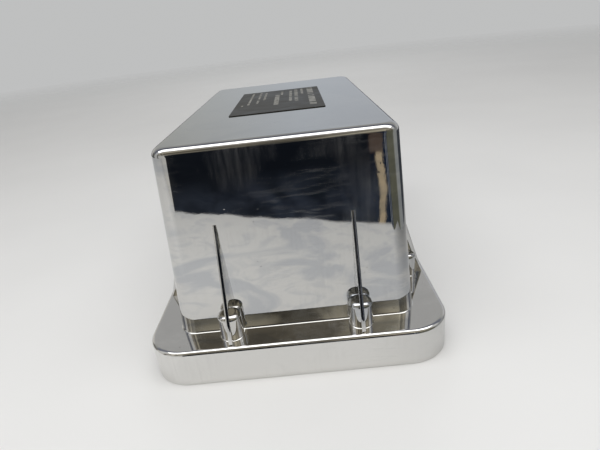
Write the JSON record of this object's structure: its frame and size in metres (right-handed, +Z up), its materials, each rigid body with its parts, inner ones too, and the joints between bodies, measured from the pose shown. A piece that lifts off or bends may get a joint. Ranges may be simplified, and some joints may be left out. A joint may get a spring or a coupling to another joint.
{
  "type": "flanged equipment housing",
  "caption": "Chromed drafted box on a skirted flange with gusseted screw bosses and a rating plate on top, closed below by a plate that carries a small mains transformer.",
  "frame": {"origin": "on the ground plane of the skirt's rim, under the middle of the case", "axes": "+X across the case, +Y along its length away from the end that faces the viewer, +Z up out of the closed top"},
  "size_m": [0.136, 0.222, 0.1029],
  "materials": {
    "chrome_plate": "mirror chrome plating with wipe marks",
    "rating_plate": null,
    "zinc_plate": "bright zinc-plated sheet",
    "zinc_hardware": "bright zinc-plated fasteners",
    "black_rubber": "matte rubber",
    "lamination_steel": "varnished laminations",
    "enamelled_copper": "enamelled copper wire",
    "bobbin_nylon": "moulded nylon",
    "yellow_tape": "polyester tape",
    "tinned_brass": "tinned",
    "black_phenolic": "moulded phenolic",
    "fuse_glass": "clear",
    "nickel_spring": "nickel plated",
    "grey_insulation": "extruded insulation",
    "red_insulation": "extruded insulation"
  },
  "bodies": {
    "root": {"housing_shell": "chrome_plate", "rating_plate": "rating_plate", "base_plate": "zinc_plate", "base_gasket": "black_rubber", "base_screws": "zinc_hardware", "base_washers": "zinc_hardware", "mount_nuts": "zinc_hardware", "core_stack": "lamination_steel", "bobbin": "bobbin_nylon", "primary_winding": "enamelled_copper", "secondary_winding": "enamelled_copper", "winding_wraps": "yellow_tape", "solder_tags": "tinned_brass", "core_bolts": "zinc_hardware", "core_nuts": "zinc_hardware", "chassis_screws": "zinc_hardware", "chassis_nuts": "zinc_hardware", "terminal_block": "black_phenolic", "terminal_links": "tinned_brass", "terminal_screws": "zinc_hardware", "primary_leads": "grey_insulation", "secondary_leads": "red_insulation", "fuse_base": "black_phenolic", "fuse_screw": "zinc_hardware", "fuse_clips": "nickel_spring", "fuse_tube": "fuse_glass", "fuse_caps": "nickel_spring", "earth_stud": "zinc_hardware", "earth_nuts": "zinc_hardware", "earth_tag": "tinned_brass", "cable_grommet": "black_rubber", "front_bracket": "zinc_plate", "rear_bracket": "zinc_plate"}
  },
  "joints": []
}
